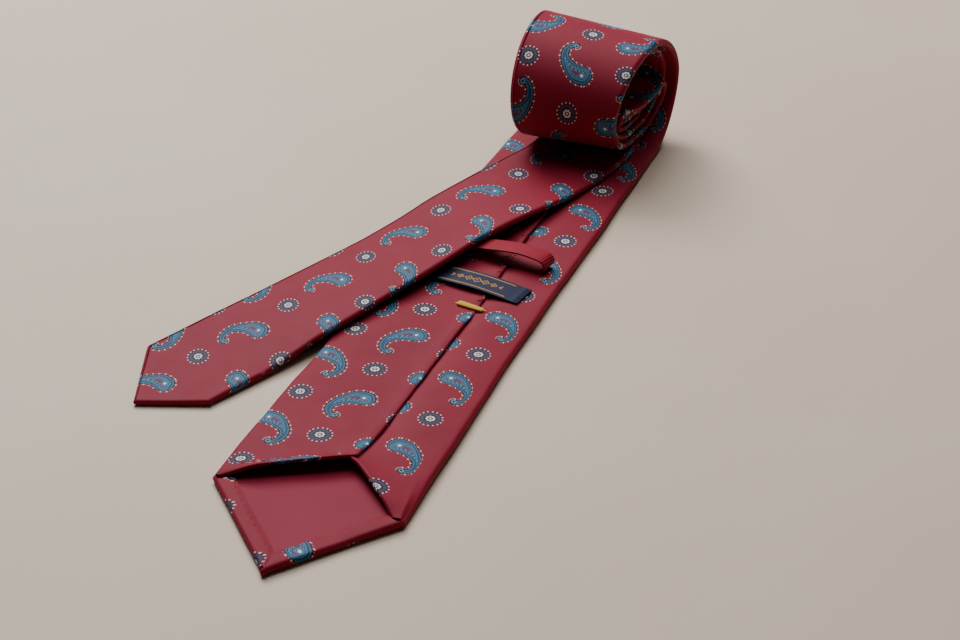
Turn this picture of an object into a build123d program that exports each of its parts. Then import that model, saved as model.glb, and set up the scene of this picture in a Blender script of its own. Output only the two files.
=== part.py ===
from build123d import *
from math import asin, atan2, cos, degrees, hypot, pi, radians, sin
import os

# A silk necktie laid out with its back up.
#
# The wide blade lies flat on its smooth front with its tip towards -Y.  The tail lies beside it and
# across it with its front up.  The rest of the tie is folded in half and wound, both halves together,
# into a slack roll at +Y.  The origin is on the surface that the tie lies on, under the middle of
# the whole tie.  Plan measures below are the wide blade's own: x across it from its middle, y along
# it from the two corners of its tip towards the roll.  Lengths are in mm and angles in degrees.

# ---- Driving dimensions ----

# Where the wide blade's own x = 0, y = 0 stands in the tie's frame.
BLADE_X = 36.84
CORNER_Y = -167.143

# Cloth.
SILK = 0.5           # outer silk, one wall of the folded envelope
SIDE_WALL = 1.3      # silk and seam allowance at a folded side edge
LINING_GAP = 0.15    # air between the silk and the wool inside it
TIPPING = 0.35       # plain cloth that lines a tip
JOIN_GAP = 0.3       # air between two stretches of the strip that meet end to end
EDGE_ROUND = 1.7     # how softly a side edge is folded

# Wide blade: its edges are (y, left x, right x).
BLADE_THICK = 4.0
BLADE_TIP = (4.5, -48.5)
BLADE_EDGES = [(0, -42, 42), (40, -42.8, 40.5), (113, -43.4, 37.6), (192, -43.4, 36), (340, -41.5, 34.5)]
V_APEX = (7.0, 29.0)
TIP_BORDER = 6.5     # silk turned over the edges of the tip
BLADE_SEAM = [(29, 7), (150, 7), (230, 4), (340, 3)]     # (y, x) of the edge where the flaps meet
SEAM_GAP = 0.4
TIP_LINING_THICK = 1.2
TIPPING_END_Y = 68.0
TIP_HINGE_Y = 85.0

# Trimmings on the back of the wide blade.
TRIM_TILT = -9.0     # the label and the keeper lie a little askew
LABEL_PLACE = (0.3, 179.5)
LABEL_LENGTH = 50.0
LABEL_WIDTH = 14.0
LABEL_THICK = 0.5
LABEL_FOLD = 5.0     # turned under and sewn down at each end
LABEL_BOW = 1.2
KEEPER_PLACE = (-1.0, 207.5)
KEEPER_WIDTH = 10.0
KEEPER_THICK = 0.7
KEEPER_SLIT_X = 6.0
TACK_PLACE = (5.0, 159.5)
TACK_LENGTH = 14.0
TACK_WIDTH = 1.8
TACK_THICK = 0.9
STITCH_LENGTH = 2.2
STITCH_WIDTH = 0.4
STITCH_THICK = 0.25
STITCH_STEP = 9.0
SIT = 0.02           # air under a thread that lies on flat cloth
TAIL_SIT = 0.15      # the same under the tail, where the cloth slopes

# Tail: its middle line starts at the tip, (s, heading from +Y), where s runs along it.
TAIL_THICK = 3.4
TAIL_TIP = (-99.3, 36.9)
TAIL_HEADING = [(0, 22.5), (60, 21.5), (150, 20), (275, 17), (322, 0)]
# Half widths (s, towards the near side, towards the far side).
TAIL_HALVES = [(0, 0, 0), (22, 23.7, 21.2), (32, 24, 30.7), (135, 25, 30.5), (275, 24.5, 27.5), (322, 24, 26)]
# Height of the underside (s, near edge, far edge): it climbs over the blade and the keeper.
TAIL_RISE = [
    (0, 0, 0), (55, 0.4, 0), (85, 4.4, 0), (125, 6.6, 0), (165, 8.8, 0), (190, 10.4, 1.6),
    (210, 10.0, 3.6), (228, 8.6, 4.2), (246, 6.6, 4.5), (262, 5.0, 4.6), (300, 4.4, 4.4), (322, 4.4, 4.4),
]
TAIL_V_APEX = (-2.0, 52.0)    # across, along
TAIL_TIPPING_END = 72.0
TAIL_HINGE = 262.0
TAIL_LINING_THICK = 1.5
TAIL_TACK_AT = 78.0

# Roll: the surface where the two halves meet back to back winds once round a slack oval.
ROLL_Y = 340.45      # where it leaves the surface, which is under the middle of the oval
ROLL_REACH = 40.4    # half length of the oval along the blade, at the start
ROLL_HALF_HEIGHT = 30.0
ROLL_CENTRE = 34.2
LAYER_GAP = 0.2      # air between this surface and each half
TURN_PITCH = 8.2     # how much further in the turn ends, at the bottom and the ends
TOP_PITCH = 9.0      # the same at the top, where the turn is slacker
TURN = 2 * pi
STATIONS_PER_TURN = 32
# Then the neck has sunk in flat passes on the bottom of the oval: corners (y, z) and their rounds.
NECK_PATH = [
    (340.45, 12.4), (355, 12.8), (370, 23.6), (366.2, 30.8), (342, 25.4),
    (316.6, 32), (319, 24.6), (331, 20.4), (350, 19.2),
]
NECK_ROUNDS = [22, 4.6, 4.6, 60, 3.2, 3.2, 14]
NECK_STATIONS = 56
NECK_THICK = 2.4
# Edges of the two halves: (turns, left x, right x), and for the neck (share of its path, left x, right x).
ROLLED_BLADE_EDGES = [
    (0, -41.5, 34.5), (0.25, -39, 33.5), (0.5, -34.5, 29.5), (0.75, -31, 24), (1, -28.5, 24.5),
]
ROLLED_TAIL_EDGES = [(0, -26, 24), (0.25, -21.5, 28), (0.5, -24.5, 24.5), (0.75, -27, 21), (1, -23, 23)]
NECK_OUTER_EDGES = [(0, -28.5, 24.5), (0.32, -20, 31), (0.55, -23, 27), (0.8, -26, 21), (1, -23, 22.5)]
NECK_INNER_EDGES = [(0, -23, 23), (0.32, -18, 28.5), (0.55, -21.5, 25), (0.8, -24, 19.5), (1, -22, 21.5)]

LAY = Plane(origin=(BLADE_X, CORNER_Y, 0))


# ---- Shared helpers ----

def read(rows, place):
    """Read a table at any place, in straight lines between its rows."""
    for low, high in zip(rows, rows[1:]):
        if place <= high[0]:
            share = (place - low[0]) / (high[0] - low[0])
            return [a + share * (b - a) for a, b in zip(low[1:], high[1:])]
    return list(rows[-1][1:])


def steps(first, last, count):
    """Evenly spaced places from first to last, both included."""
    return [first + (last - first) * i / count for i in range(count + 1)]


def blade_panel(first, last, inset=0.0, mode=Mode.ADD):
    """Face of the wide blade between two y; a first y before the corners takes in the whole tip."""
    rows = [(y, *read(BLADE_EDGES, y)) for y in (max(first, 0), last)]
    rows[1:1] = [row for row in BLADE_EDGES if rows[0][0] < row[0] < last]
    left = [(row[1] + inset, row[0]) for row in rows]
    right = [(row[2] - inset, row[0]) for row in reversed(rows)]
    tip = [(BLADE_TIP[0], BLADE_TIP[1] + inset * 2 ** 0.5)] if first < 0 else []
    Polygon(*left, *right, *tip, align=None, mode=mode)


def seam_slit(rows, first, last, width):
    """Face of the narrow gap where the two flaps meet."""
    places = [first] + [row[0] for row in rows if first < row[0] < last] + [last]
    middle = [(read(rows, place)[0], place) for place in places]
    left = [(x - width / 2, y) for x, y in middle]
    right = [(x + width / 2, y) for x, y in reversed(middle)]
    Polygon(*left, *right, align=None)


def runs_along(edge):
    """True for an edge that follows the side of a strip or of a tip."""
    return abs(edge.tangent_at(0.5).Y) > 0.5


def strip(stations, side=0.0, low=0.0, high=0.0, mode=Mode.ADD):
    """Loft a strip through stations (plane, left, right, bottom, top), set in from each face."""
    sections = []
    for plane, left, right, bottom, top in stations:
        with BuildSketch(plane) as section:
            with Locations(((left + right) / 2, (bottom + low + top - high) / 2)):
                Rectangle(right - left - 2 * side, top - bottom - low - high)
        sections.append(section.sketch)
    loft(sections, ruled=True, mode=mode)


def envelope(stations, inner_stations):
    """Flattened tube of silk: a strip with the room for its lining cut out of it."""
    strip(stations)
    strip(inner_stations, SIDE_WALL, SILK, SILK, mode=Mode.SUBTRACT)


def lining(stations, thick=None):
    """Wool that fills an envelope, or lies against its front when a thickness is given."""
    room = SILK + LINING_GAP
    bottom, top = stations[0][3], stations[0][4]
    slack = room if thick is None else top - bottom - room - thick
    strip(stations, SIDE_WALL + LINING_GAP, room, slack)


# ---- The tail's middle line and sections ----

def tail_spine(place):
    """Point on the tail's middle line, and its heading in radians."""
    count = 60
    x, y = TAIL_TIP
    for i in range(count):
        heading = radians(read(TAIL_HEADING, place * (i + 0.5) / count)[0])
        x += sin(heading) * place / count
        y += cos(heading) * place / count
    return x, y, radians(read(TAIL_HEADING, place)[0])


def tail_plane(place, lift=0.0):
    """Plane across the tail on its underside: x to the near side, y down, z towards the roll."""
    x, y, heading = tail_spine(place)
    near_half, far_half = read(TAIL_HALVES, place)
    near_rise, far_rise = read(TAIL_RISE, place)
    width = max(near_half + far_half, 1.0)
    tilt = asin((near_rise - far_rise) / width)
    height = far_rise + (near_rise - far_rise) * far_half / width + lift
    across = (cos(heading) * cos(tilt), -sin(heading) * cos(tilt), sin(tilt))
    along = (sin(heading), cos(heading), 0)
    return Plane(origin=LAY.from_local_coords((x, y, height)), x_dir=across, z_dir=along)


def tail_stations(first, last, extra=(), thin=0.0):
    """Sections of the tail between two places, at every row of its tables."""
    rows = TAIL_HALVES + TAIL_RISE + TAIL_HEADING + [(place,) for place in extra]
    places = sorted({first, last} | {row[0] for row in rows if first < row[0] < last})
    stations = []
    for place in places:
        near_half, far_half = read(TAIL_HALVES, place)
        stations.append((tail_plane(place), -far_half + thin, near_half - thin, -TAIL_THICK, 0))
    return stations


# ---- The roll's winding surface and sections ----

with BuildLine() as neck_line:
    FilletPolyline(*NECK_PATH, radius=NECK_ROUNDS)


def turn_point(turns):
    """Point (y, z) of the oval's winding surface and its direction of travel (y, z)."""
    angle = turns * TURN
    reach = ROLL_REACH - TURN_PITCH * turns
    half = ROLL_HALF_HEIGHT - (TURN_PITCH + TOP_PITCH) / 2 * turns
    centre = ROLL_CENTRE + (TURN_PITCH - TOP_PITCH) / 2 * turns
    travel_y = reach * cos(angle) - TURN_PITCH / TURN * sin(angle)
    travel_z = (TURN_PITCH - TOP_PITCH) / 2 / TURN + half * sin(angle)
    travel_z += (TURN_PITCH + TOP_PITCH) / 2 / TURN * cos(angle)
    return ROLL_Y + reach * sin(angle), centre - half * cos(angle), travel_y, travel_z


def neck_point(share):
    """The same for the neck's path."""
    wire = neck_line.wire()
    point, travel = wire.position_at(share), wire.tangent_at(share)
    return point.X, point.Y, travel.X, travel.Y


def winding_plane(line, place, turn_back=0.0):
    """Plane across the strip: y away from the winding surface, z along the strip.

    turn_back swings the plane about the winding surface, from the outer half to the inner one.
    """
    y, z, travel_y, travel_z = line(place)
    swing = atan2(travel_z, travel_y) + turn_back
    along = (0, cos(swing), sin(swing))
    return Plane(origin=LAY.from_local_coords((0, y, z)), x_dir=(1, 0, 0), z_dir=along)


def winding_stations(line, places, edges, thick, inner=False):
    """Sections of one half of the strip along a stretch of the winding surface."""
    stations = []
    for place in places:
        left, right = read(edges, place)
        plane = winding_plane(line, place, pi if inner else 0)
        stations.append((plane, left, right, LAYER_GAP, LAYER_GAP + thick))
    return stations


def neck_stations(trim):
    """Sections of the neck band: in along the outer half, round the fold, back along the inner."""
    places = steps(trim, 1, NECK_STATIONS)
    outer = winding_stations(neck_point, places, NECK_OUTER_EDGES, NECK_THICK)
    inner = winding_stations(neck_point, places[::-1], NECK_INNER_EDGES, NECK_THICK, inner=True)
    left, right = read(NECK_OUTER_EDGES, 1)
    last_left, last_right = read(NECK_INNER_EDGES, 1)
    fold = []
    for share in steps(0, 1, 8)[1:-1]:
        edges = (left + share * (last_left - left), right + share * (last_right - right))
        plane = winding_plane(neck_point, 1, share * pi)
        fold.append((plane, *edges, LAYER_GAP, LAYER_GAP + NECK_THICK))
    return outer + fold + inner


# ---- Wide tip: the stretch of the blade that lifts ----

TIP_END_Y = TIP_HINGE_Y - JOIN_GAP / 2

with BuildPart() as wide_tip_shell:
    with BuildSketch(LAY):
        blade_panel(-1, TIP_END_Y)
    extrude(amount=BLADE_THICK)
    fillet(wide_tip_shell.edges().filter_by(runs_along), EDGE_ROUND)
    with BuildSketch(LAY.offset(SILK)):
        blade_panel(-1, TIP_END_Y + 1, SIDE_WALL)
    extrude(amount=BLADE_THICK - 2 * SILK, mode=Mode.SUBTRACT)
    # The V between the two flaps and the turned-over border.
    with BuildSketch(LAY.offset(BLADE_THICK / 2)):
        blade_panel(-1, TIP_END_Y, TIP_BORDER)
        corners = [(x, 0) for x in BLADE_EDGES[0][1:]]
        Polygon(corners[0], V_APEX, corners[1], BLADE_TIP, align=None, mode=Mode.INTERSECT)
    extrude(amount=BLADE_THICK, mode=Mode.SUBTRACT)
    with BuildSketch(LAY.offset(BLADE_THICK / 2)):
        seam_slit(BLADE_SEAM, V_APEX[1] - 1, TIP_END_Y + 1, SEAM_GAP)
    extrude(amount=BLADE_THICK, mode=Mode.SUBTRACT)

with BuildPart() as wide_tip_interlining:
    with BuildSketch(LAY.offset(SILK + LINING_GAP)):
        blade_panel(-1, TIP_END_Y, SIDE_WALL + LINING_GAP)
    extrude(amount=TIP_LINING_THICK)

WIDE_TIPPING_Z = SILK + TIP_LINING_THICK + 2 * LINING_GAP

with BuildPart() as wide_tipping:
    with BuildSketch(LAY.offset(WIDE_TIPPING_Z)):
        blade_panel(-1, TIPPING_END_Y, SIDE_WALL + LINING_GAP)
    extrude(amount=TIPPING)

with BuildPart() as wide_tip_hem_stitches:
    # Two rows of small stitches along the border, where it is sewn to the tipping.
    row_inset = TIP_BORDER - 1.2
    for corner in ((x, 0) for x in BLADE_EDGES[0][1:]):
        run = (corner[0] - BLADE_TIP[0], corner[1] - BLADE_TIP[1])
        length = hypot(*run)
        unit = (run[0] / length, run[1] / length)
        side = 1 if corner[0] < 0 else -1
        inward = (unit[1] * side, -unit[0] * side)
        for place in steps(14, length - 14, 9):
            x = BLADE_TIP[0] + unit[0] * place + inward[0] * row_inset
            y = BLADE_TIP[1] + unit[1] * place + inward[1] * row_inset
            with BuildSketch(LAY.offset(BLADE_THICK + SIT)):
                with Locations(Location((x, y), degrees(atan2(unit[1], unit[0])))):
                    SlotOverall(STITCH_LENGTH, STITCH_WIDTH)
    extrude(amount=STITCH_THICK)


# ---- Wide blade ----

BLADE_START_Y = TIP_HINGE_Y + JOIN_GAP / 2
BLADE_END_Y = ROLL_Y - 0.7

with BuildPart() as wide_blade_shell:
    with BuildSketch(LAY):
        blade_panel(BLADE_START_Y, BLADE_END_Y)
    extrude(amount=BLADE_THICK)
    fillet(wide_blade_shell.edges().filter_by(runs_along), EDGE_ROUND)
    with BuildSketch(LAY.offset(SILK)):
        blade_panel(BLADE_START_Y - 1, BLADE_END_Y + 1, SIDE_WALL)
    extrude(amount=BLADE_THICK - 2 * SILK, mode=Mode.SUBTRACT)
    with BuildSketch(LAY.offset(BLADE_THICK / 2)):
        seam_slit(BLADE_SEAM, BLADE_START_Y - 1, BLADE_END_Y + 1, SEAM_GAP)
    extrude(amount=BLADE_THICK, mode=Mode.SUBTRACT)

with BuildPart() as wide_blade_interlining:
    with BuildSketch(LAY.offset(SILK + LINING_GAP)):
        blade_panel(BLADE_START_Y, BLADE_END_Y, SIDE_WALL + LINING_GAP)
    extrude(amount=BLADE_THICK - 2 * (SILK + LINING_GAP))

with BuildPart() as wide_slip_stitches:
    # The slack thread that closes the back shows as short stitches across the seam.
    first, last = TACK_PLACE[1] + 6, BLADE_END_Y - 6
    for place in steps(first, last, round((last - first) / STITCH_STEP)):
        with BuildSketch(LAY.offset(BLADE_THICK + SIT)):
            with Locations(Location((read(BLADE_SEAM, place)[0], place), 25)):
                SlotOverall(STITCH_LENGTH, STITCH_WIDTH)
    extrude(amount=STITCH_THICK)

with BuildPart() as wide_bar_tack:
    with BuildSketch(LAY.offset(BLADE_THICK + SIT)):
        with Locations(Location(TACK_PLACE, TRIM_TILT)):
            SlotOverall(TACK_LENGTH, TACK_WIDTH)
    extrude(amount=TACK_THICK)
    fillet(wide_bar_tack.edges().group_by(Axis.Z)[-1], TACK_THICK * 0.4)


# ---- Label and keeper loop ----

def trim_plane(place, tilt=TRIM_TILT):
    """Upright plane along a trimming: x along it, y up, at the blade's back."""
    x, y = place
    along = (cos(radians(tilt)), sin(radians(tilt)), 0)
    across = (sin(radians(tilt)), -cos(radians(tilt)), 0)
    return Plane(origin=LAY.from_local_coords((x, y, BLADE_THICK)), x_dir=along, z_dir=across)


LABEL_BASE = SIT + STITCH_THICK + 0.05
LABEL_END = LABEL_LENGTH / 2
LABEL_TOP = LABEL_BASE + 2 * LABEL_THICK
LABEL_UNDER = LABEL_TOP + LABEL_BOW - LABEL_THICK
BOW_START = LABEL_END - LABEL_FOLD
LABEL_FOLD_LINE = [
    (BOW_START, LABEL_BASE), (LABEL_END, LABEL_BASE), (LABEL_END, LABEL_TOP), (BOW_START, LABEL_TOP),
]
LABEL_STITCH_INSET = 1.4
STITCH_INSET = 1.5   # from either side of a band to its first stitch

with BuildPart() as back_label:
    with BuildSketch(trim_plane(LABEL_PLACE)):
        with BuildLine():
            Polyline(*LABEL_FOLD_LINE)
            ThreePointArc((BOW_START, LABEL_TOP), (0, LABEL_TOP + LABEL_BOW), (-BOW_START, LABEL_TOP))
            Polyline(*[(-x, z) for x, z in reversed(LABEL_FOLD_LINE)])
            ThreePointArc((-BOW_START, LABEL_BASE), (0, LABEL_UNDER), (BOW_START, LABEL_BASE))
        make_face()
    extrude(amount=LABEL_WIDTH / 2, both=True)

with BuildPart() as label_end_stitches:
    with BuildSketch(trim_plane(LABEL_PLACE)) as stitch_profile:
        for end in (-1, 1):
            with Locations((end * (LABEL_END - LABEL_STITCH_INSET), LABEL_TOP + SIT + STITCH_THICK / 2)):
                Rectangle(STITCH_LENGTH, STITCH_THICK)
    label_across = trim_plane(LABEL_PLACE).z_dir
    label_stitch_reach = LABEL_WIDTH / 2 - STITCH_INSET
    for place in steps(-label_stitch_reach, label_stitch_reach, 4):
        start = Location(label_across * (place - STITCH_WIDTH / 2))
        extrude(stitch_profile.sketch.moved(start), STITCH_WIDTH)

# Outside of the keeper, seen along the blade: pressed flat at the left, full at the right.
KEEPER_BASE = SIT + STITCH_THICK + 0.05
KEEPER_OUTLINE = [(-31, KEEPER_BASE), (-31, 2.0), (14, 8.6), (28.5, 7.4), (28.5, KEEPER_BASE)]
KEEPER_ROUNDS = [0.7, 0.8, 12, 3.2, 2.6]

with BuildPart() as keeper_loop:
    with BuildSketch(trim_plane(KEEPER_PLACE)):
        with BuildLine():
            FilletPolyline(*KEEPER_OUTLINE, radius=KEEPER_ROUNDS, close=True)
        make_face()
        offset(amount=-KEEPER_THICK, mode=Mode.SUBTRACT)
        with Locations((KEEPER_SLIT_X, KEEPER_BASE)):
            Rectangle(SEAM_GAP, 3 * KEEPER_THICK, mode=Mode.SUBTRACT)
    extrude(amount=KEEPER_WIDTH / 2, both=True)

with BuildPart() as keeper_loop_stitches:
    # Each end of the keeper is caught down beside the blade's seam.
    with BuildSketch(trim_plane(KEEPER_PLACE)) as catch_profile:
        for side in (-1, 1):
            with Locations((KEEPER_SLIT_X + side * 1.8, KEEPER_BASE + KEEPER_THICK + SIT + STITCH_THICK / 2)):
                Rectangle(STITCH_LENGTH, STITCH_THICK)
    keeper_across = trim_plane(KEEPER_PLACE).z_dir
    keeper_stitch_reach = KEEPER_WIDTH / 2 - STITCH_INSET
    for place in steps(-keeper_stitch_reach, keeper_stitch_reach, 3):
        start = Location(keeper_across * (place - STITCH_WIDTH / 2))
        extrude(catch_profile.sketch.moved(start), STITCH_WIDTH)


# ---- Roll ----

ROLL_TRIM = 0.002    # turns, or share of the neck's path, left free at each end of a piece
TURN_PLACES = steps(ROLL_TRIM, 1 - ROLL_TRIM, STATIONS_PER_TURN)

with BuildPart() as rolled_blade_shell:
    blade_turn = winding_stations(turn_point, TURN_PLACES, ROLLED_BLADE_EDGES, BLADE_THICK - LAYER_GAP)
    envelope(blade_turn, blade_turn)

with BuildPart() as rolled_blade_interlining:
    lining(blade_turn)

with BuildPart() as rolled_tail_shell:
    places = TURN_PLACES[::-1]
    tail_turn = winding_stations(turn_point, places, ROLLED_TAIL_EDGES, TAIL_THICK, inner=True)
    envelope(tail_turn, tail_turn)

with BuildPart() as rolled_tail_interlining:
    lining(tail_turn)

with BuildPart() as neck_band_shell:
    neck_turns = neck_stations(ROLL_TRIM)
    envelope(neck_turns, neck_turns)

with BuildPart() as neck_band_interlining:
    lining(neck_turns)


# ---- Tail: the short stretch in front of the roll, then the stretch that lifts ----

TAIL_BASE_START = TAIL_HINGE + JOIN_GAP / 2
TAIL_BASE_END = 319.5

with BuildPart() as tail_base_shell:
    base_run = tail_stations(TAIL_BASE_START, TAIL_BASE_END)
    envelope(base_run, base_run)

with BuildPart() as tail_base_interlining:
    lining(base_run)

TAIL_END = TAIL_HINGE - JOIN_GAP / 2

with BuildPart() as tail_shell:
    envelope(tail_stations(0.6, TAIL_END), tail_stations(4, TAIL_END))
    # The V on the underside, between the flaps and the turned-over border.
    heading = tail_spine(1)[2]
    under = Plane(
        origin=LAY.from_local_coords((*TAIL_TIP, -1)),
        x_dir=(cos(heading), -sin(heading), 0),
        z_dir=(0, 0, 1),
    )
    near_corner = (TAIL_HALVES[1][1], TAIL_HALVES[1][0])
    far_corner = (-TAIL_HALVES[2][2], TAIL_HALVES[2][0])
    with BuildSketch(under):
        Polygon(far_corner, TAIL_V_APEX, near_corner, (0, 0), align=None)
        offset(amount=-TIP_BORDER + 2, kind=Kind.INTERSECTION, mode=Mode.REPLACE)
    extrude(amount=1 + 2 * SILK, mode=Mode.SUBTRACT)

with BuildPart() as tail_interlining:
    lining(tail_stations(6, TAIL_END), TAIL_LINING_THICK)

with BuildPart() as tail_tipping:
    under_lining = SILK + 2 * LINING_GAP + TAIL_LINING_THICK
    below_tipping = TAIL_THICK - under_lining - TIPPING
    strip(tail_stations(6, TAIL_TIPPING_END), SIDE_WALL + LINING_GAP, under_lining, below_tipping)

with BuildPart() as tail_bar_tack:
    with BuildSketch(tail_plane(TAIL_TACK_AT)):
        with Locations((-2, TAIL_SIT + TACK_THICK / 2)):
            RectangleRounded(TACK_LENGTH * 0.8, TACK_THICK, TACK_THICK * 0.4)
    extrude(amount=TACK_WIDTH / 2, both=True)

with BuildPart() as tail_slip_stitches:
    first, last = TAIL_TACK_AT + 8, TAIL_END - 6
    for place in steps(first, last, round((last - first) / STITCH_STEP)):
        with BuildSketch(tail_plane(place)) as slip_profile:
            with Locations((-2, TAIL_SIT + STITCH_THICK / 2)):
                Rectangle(STITCH_LENGTH, STITCH_THICK)
        extrude(slip_profile.sketch, amount=STITCH_WIDTH / 2, both=True)


# ---- Export ----

PIECES = {
    "wide_tip_shell": wide_tip_shell,
    "wide_tip_interlining": wide_tip_interlining,
    "wide_tipping": wide_tipping,
    "wide_tip_hem_stitches": wide_tip_hem_stitches,
    "wide_blade_shell": wide_blade_shell,
    "wide_blade_interlining": wide_blade_interlining,
    "wide_slip_stitches": wide_slip_stitches,
    "wide_bar_tack": wide_bar_tack,
    "back_label": back_label,
    "label_end_stitches": label_end_stitches,
    "keeper_loop": keeper_loop,
    "keeper_loop_stitches": keeper_loop_stitches,
    "rolled_blade_shell": rolled_blade_shell,
    "rolled_blade_interlining": rolled_blade_interlining,
    "rolled_tail_shell": rolled_tail_shell,
    "rolled_tail_interlining": rolled_tail_interlining,
    "neck_band_shell": neck_band_shell,
    "neck_band_interlining": neck_band_interlining,
    "tail_base_shell": tail_base_shell,
    "tail_base_interlining": tail_base_interlining,
    "tail_shell": tail_shell,
    "tail_interlining": tail_interlining,
    "tail_tipping": tail_tipping,
    "tail_bar_tack": tail_bar_tack,
    "tail_slip_stitches": tail_slip_stitches,
}

os.makedirs("parts", exist_ok=True)
for name, piece in PIECES.items():
    piece.part.label = name
    export_step(piece.part, f"parts/{name}.step")

boxes = [piece.part.bounding_box() for piece in PIECES.values()]
low = [min(getattr(box.min, axis) for box in boxes) for axis in "XYZ"]
high = [max(getattr(box.max, axis) for box in boxes) for axis in "XYZ"]
print("box low", [round(value, 3) for value in low])
print("box high", [round(value, 3) for value in high])
hinge = tail_plane(TAIL_HINGE, TAIL_THICK)
print("tail hinge at", hinge.origin, "axis", -hinge.x_dir)
print("tip hinge at", LAY.from_local_coords((0, TIP_HINGE_Y, BLADE_THICK)))
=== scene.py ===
import math

import bpy
import numpy as np
from mathutils import Matrix, Vector
from mathutils.bvhtree import BVHTree


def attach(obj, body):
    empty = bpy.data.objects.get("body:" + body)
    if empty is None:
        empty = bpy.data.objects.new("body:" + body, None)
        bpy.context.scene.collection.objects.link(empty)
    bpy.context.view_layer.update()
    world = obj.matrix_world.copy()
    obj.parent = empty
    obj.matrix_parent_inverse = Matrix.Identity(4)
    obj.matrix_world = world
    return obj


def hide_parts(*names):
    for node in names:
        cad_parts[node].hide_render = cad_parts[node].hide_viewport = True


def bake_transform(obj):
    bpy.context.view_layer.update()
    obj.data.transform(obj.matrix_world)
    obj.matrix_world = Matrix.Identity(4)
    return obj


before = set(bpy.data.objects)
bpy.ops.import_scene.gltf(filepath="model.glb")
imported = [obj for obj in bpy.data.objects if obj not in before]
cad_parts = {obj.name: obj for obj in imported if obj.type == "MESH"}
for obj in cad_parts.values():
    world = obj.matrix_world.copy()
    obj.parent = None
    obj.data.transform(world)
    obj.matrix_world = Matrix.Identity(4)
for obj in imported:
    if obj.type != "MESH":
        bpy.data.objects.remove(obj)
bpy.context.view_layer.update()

# A silk necktie laid out with its back up, in the CAD's frame.
#
# Lengths in the tables are in mm.  Plan places are the wide blade's own: x across it, y along it.
# Each strip of cloth has its own coordinates too: a across the strip, s along it from its tip, and
# h through it, from the smooth front face towards the back.

MM = 0.001
ORIGIN = np.array((36.84, -167.143, 0))    # where the wide blade's own x = 0, y = 0 stands in the frame

# ---- Tables shared with the CAD ----

BLADE_EDGES = [(0, -42, 42), (40, -42.8, 40.5), (113, -43.4, 37.6), (192, -43.4, 36), (340.45, -41.5, 34.5)]
BLADE_SEAM = [(29, 7), (150, 7), (230, 4), (340, 3), (560, -4)]
TIP_HINGE_Y = 85.0

TAIL_TIP = (-99.3, 36.9)
TAIL_HEADING = [(0, 22.5), (60, 21.5), (150, 20), (275, 17), (322, 0)]
TAIL_EDGES = [(22, -21.2, 23.7), (32, -30.7, 24), (135, -30.5, 25), (275, -27.5, 24.5), (322, -26, 24)]
TAIL_RISE = [
    (0, 0, 0), (55, 0.4, 0), (85, 4.4, 0), (125, 6.6, 0), (165, 8.8, 0), (190, 10.4, 1.6),
    (210, 10.0, 3.6), (228, 8.6, 4.2), (246, 6.6, 4.5), (262, 5.0, 4.6), (300, 4.4, 4.4), (322, 4.4, 4.4),
]
TAIL_HINGE_S = 262.0

ROLL_Y = 340.45
ROLL_REACH, ROLL_HALF_HEIGHT, ROLL_CENTRE = 40.4, 30.0, 34.2
TURN_PITCH, TOP_PITCH = 8.2, 9.0
LAYER_GAP = 0.2
TURN = 2 * math.pi
NECK_PATH = [
    (340.45, 12.4), (355, 12.8), (370, 23.6), (366.2, 30.8), (342, 25.4),
    (316.6, 32), (319, 24.6), (331, 20.4), (350, 19.2),
]
NECK_ROUNDS = [22, 4.6, 4.6, 60, 3.2, 3.2, 14]
ROLLED_BLADE = [(0, -41.5, 34.5), (0.25, -39, 33.5), (0.5, -34.5, 29.5), (0.75, -31, 24), (1, -28.5, 24.5)]
ROLLED_TAIL = [(0, -26, 24), (0.25, -21.5, 28), (0.5, -24.5, 24.5), (0.75, -27, 21), (1, -23, 23)]
NECK_OUTER = [(0, -28.5, 24.5), (0.32, -20, 31), (0.55, -23, 27), (0.8, -26, 21), (1, -23, 22.5)]
NECK_INNER = [(0, -23, 23), (0.32, -18, 28.5), (0.55, -21.5, 25), (0.8, -24, 19.5), (1, -22, 21.5)]
ROLL_CONE = 0.09     # how far the roll narrows to the right, at its top


def read(rows, places):
    """Tables read at many places, in straight lines between their rows."""
    table = np.array(rows, float)
    return [np.interp(places, table[:, 0], table[:, k]) for k in range(1, table.shape[1])]


def smooth(low, high, value):
    """0 below low, 1 above high, and an even curve between."""
    t = np.clip((np.asarray(value, float) - low) / (high - low), 0, 1)
    return t * t * (3 - 2 * t)


def sums(steps):
    """Running totals from 0."""
    return np.concatenate([[0], np.cumsum(steps)])


def waves(x, y, seed, size):
    """Smooth seeded unevenness from about -1 to 1, with features of about this size."""
    rng = np.random.RandomState(seed)
    total = np.zeros(np.broadcast(x, y).shape)
    for k in range(5):
        angle, phase = rng.uniform(0, TURN, 2)
        scale = TURN / (size * (0.7 + 0.35 * k))
        total = total + np.sin((x * math.cos(angle) + y * math.sin(angle)) * scale + phase)
    return total / 3


# ---- Strips: where each point of a length of cloth lies ----

class Run:
    """A flattened tube of silk along a path, as stations of origin, across, up and outline."""

    def __init__(self, *tables):
        self.tables = tables
        self.s, self.origin, self.across, self.up, self.left, self.right, self.thick = tables

    def join(self, other):
        """This run and then another one."""
        return Run(*(np.concatenate(pair) for pair in zip(self.tables, other.tables)))

    def part(self, table, s):
        if table.ndim == 1:
            return np.interp(s, self.s, table)
        return np.stack([np.interp(s, self.s, table[:, k]) for k in range(3)], -1)

    def point(self, a, s, h):
        """Places in mm, in the wide blade's plan, of points (a, s, h)."""
        lift = self.part(self.thick, s) - h
        origin, across, up = (self.part(t, s) for t in (self.origin, self.across, self.up))
        return origin + across * np.asarray(a)[..., None] + up * lift[..., None]


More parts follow.
